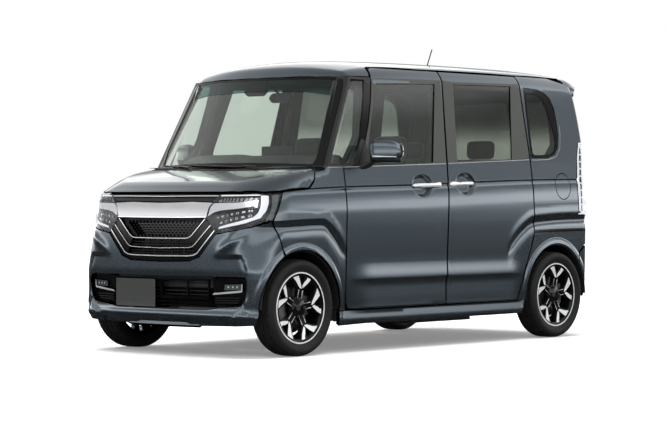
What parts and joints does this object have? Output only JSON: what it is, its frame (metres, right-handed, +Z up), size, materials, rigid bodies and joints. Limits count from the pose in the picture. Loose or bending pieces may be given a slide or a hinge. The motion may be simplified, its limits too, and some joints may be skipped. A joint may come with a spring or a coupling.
{
  "type": "kei car",
  "caption": "Tall boxy kei wagon with sliding rear doors, opening front doors, bonnet, tailgate and fuel lid, steered front wheels and a hollow cabin.",
  "frame": {"origin": "on the ground below the middle of the car's bounding box", "axes": "+Z up, -Y towards the nose, +X towards the car's left side"},
  "size_m": [1.85, 3.395, 1.9086],
  "materials": {
    "body_paint": "metallic clear-coated paint, dark blue grey",
    "gloss_black": "gloss black",
    "black_plastic": "grained, unpainted",
    "inner_trim": "light grain",
    "dash_plastic": "soft grain",
    "seat_fabric": "woven",
    "clear_glass": "clear, lightly green",
    "tinted_glass": "dark privacy tint",
    "lamp_lens": "clear lens",
    "tyre_rubber": "matt",
    "wheel_alloy": "machined face, black pockets",
    "dark_steel": "satin black underbody coat",
    "engine_metal": "as cast",
    "exhaust_steel": "dull"
  },
  "bodies": {
    "body": {"floor_pan": "dark_steel", "body_frame": "inner_trim", "screen_pillars": "gloss_black", "roof": "body_paint", "windscreen": "clear_glass", "side_glass": "tinted_glass", "front_fenders": "body_paint", "front_bumper": "body_paint", "front_lamps": "lamp_lens", "grille": "black_plastic", "cowl": "black_plastic", "rear_bumper": "body_paint", "quarter_panels": "body_paint", "tail_lamps": "lamp_lens", "sliding_doors": "body_paint", "side_skirts": "body_paint", "arch_liners": "black_plastic", "front_frame": "dark_steel", "engine_block": "engine_metal", "front_suspension": "dark_steel", "rear_axle": "dark_steel", "exhaust": "exhaust_steel", "dashboard": "dash_plastic", "front_seats": "seat_fabric", "rear_seat": "seat_fabric", "antenna": "black_plastic", "fuel_tank": "black_plastic"},
    "bonnet": {"bonnet": "body_paint"},
    "front_door_left": {"front_door_left": "body_paint", "door_glass_left": "clear_glass", "mirror_left": "body_paint"},
    "front_door_right": {"front_door_right": "body_paint", "door_glass_right": "clear_glass", "mirror_right": "body_paint"},
    "tailgate": {"tailgate": "body_paint", "tailgate_glass": "tinted_glass"},
    "fuel_lid": {"fuel_lid": "body_paint"},
    "knuckle_left": {"knuckle_left": "engine_metal"},
    "knuckle_right": {"knuckle_right": "engine_metal"},
    "steering_wheel": {"steering_wheel": "dash_plastic"},
    "wheel_front_left": {"rim_front_left": "wheel_alloy", "tyre_front_left": "tyre_rubber"},
    "wheel_front_right": {"rim_front_right": "wheel_alloy", "tyre_front_right": "tyre_rubber"},
    "wheel_rear_left": {"rim_rear_left": "wheel_alloy", "tyre_rear_left": "tyre_rubber"},
    "wheel_rear_right": {"rim_rear_right": "wheel_alloy", "tyre_rear_right": "tyre_rubber"}
  },
  "joints": [
    {"name": "left_steer", "type": "hinge", "parent": "body", "child": "knuckle_left", "pos_m": [0.6, -1.2575, 0.2815], "axis": [0, 0, 1], "range_deg": [-35, 35]},
    {"name": "right_steer", "type": "hinge", "parent": "body", "child": "knuckle_right", "pos_m": [-0.6, -1.2575, 0.2815], "axis": [0, 0, 1], "range_deg": [-35, 35]},
    {"name": "steering_wheel_turn", "type": "hinge", "parent": "body", "child": "steering_wheel", "pos_m": [-0.34, -0.6, 1.035], "axis": [0, 0.866, 0.5], "range_deg": [-540, 540]},
    {"name": "front_left_spin", "type": "hinge", "parent": "knuckle_left", "child": "wheel_front_left", "pos_m": [0.6525, -1.2575, 0.2815], "axis": [1, 0, 0], "continuous": true},
    {"name": "front_right_spin", "type": "hinge", "parent": "knuckle_right", "child": "wheel_front_right", "pos_m": [-0.6525, -1.2575, 0.2815], "axis": [1, 0, 0], "continuous": true},
    {"name": "rear_left_spin", "type": "hinge", "parent": "body", "child": "wheel_rear_left", "pos_m": [0.6525, 1.2625, 0.2815], "axis": [1, 0, 0], "continuous": true},
    {"name": "rear_right_spin", "type": "hinge", "parent": "body", "child": "wheel_rear_right", "pos_m": [-0.6525, 1.2625, 0.2815], "axis": [1, 0, 0], "continuous": true},
    {"name": "left_door_swing", "type": "hinge", "parent": "body", "child": "front_door_left", "pos_m": [0.705, -0.83, 0.72], "axis": [0, 0, -1], "range_deg": [0, 65]},
    {"name": "right_door_swing", "type": "hinge", "parent": "body", "child": "front_door_right", "pos_m": [-0.705, -0.83, 0.72], "axis": [0, 0, 1], "range_deg": [0, 65]},
    {"name": "bonnet_lift", "type": "hinge", "parent": "body", "child": "bonnet", "pos_m": [0, -1.096, 1.092], "axis": [-1, 0, 0], "range_deg": [0, 50]},
    {"name": "tailgate_lift", "type": "hinge", "parent": "body", "child": "tailgate", "pos_m": [0, 1.502, 1.762], "axis": [1, 0, 0], "range_deg": [0, 80]},
    {"name": "fuel_lid_swing", "type": "hinge", "parent": "body", "child": "fuel_lid", "pos_m": [0.721, 1.264, 0.996], "axis": [0, 0, -1], "range_deg": [0, 90]}
  ],
  "couplings": [
    {"joint": "right_steer", "follows": "left_steer", "ratio": 1},
    {"joint": "steering_wheel_turn", "follows": "left_steer", "ratio": 15.4}
  ]
}
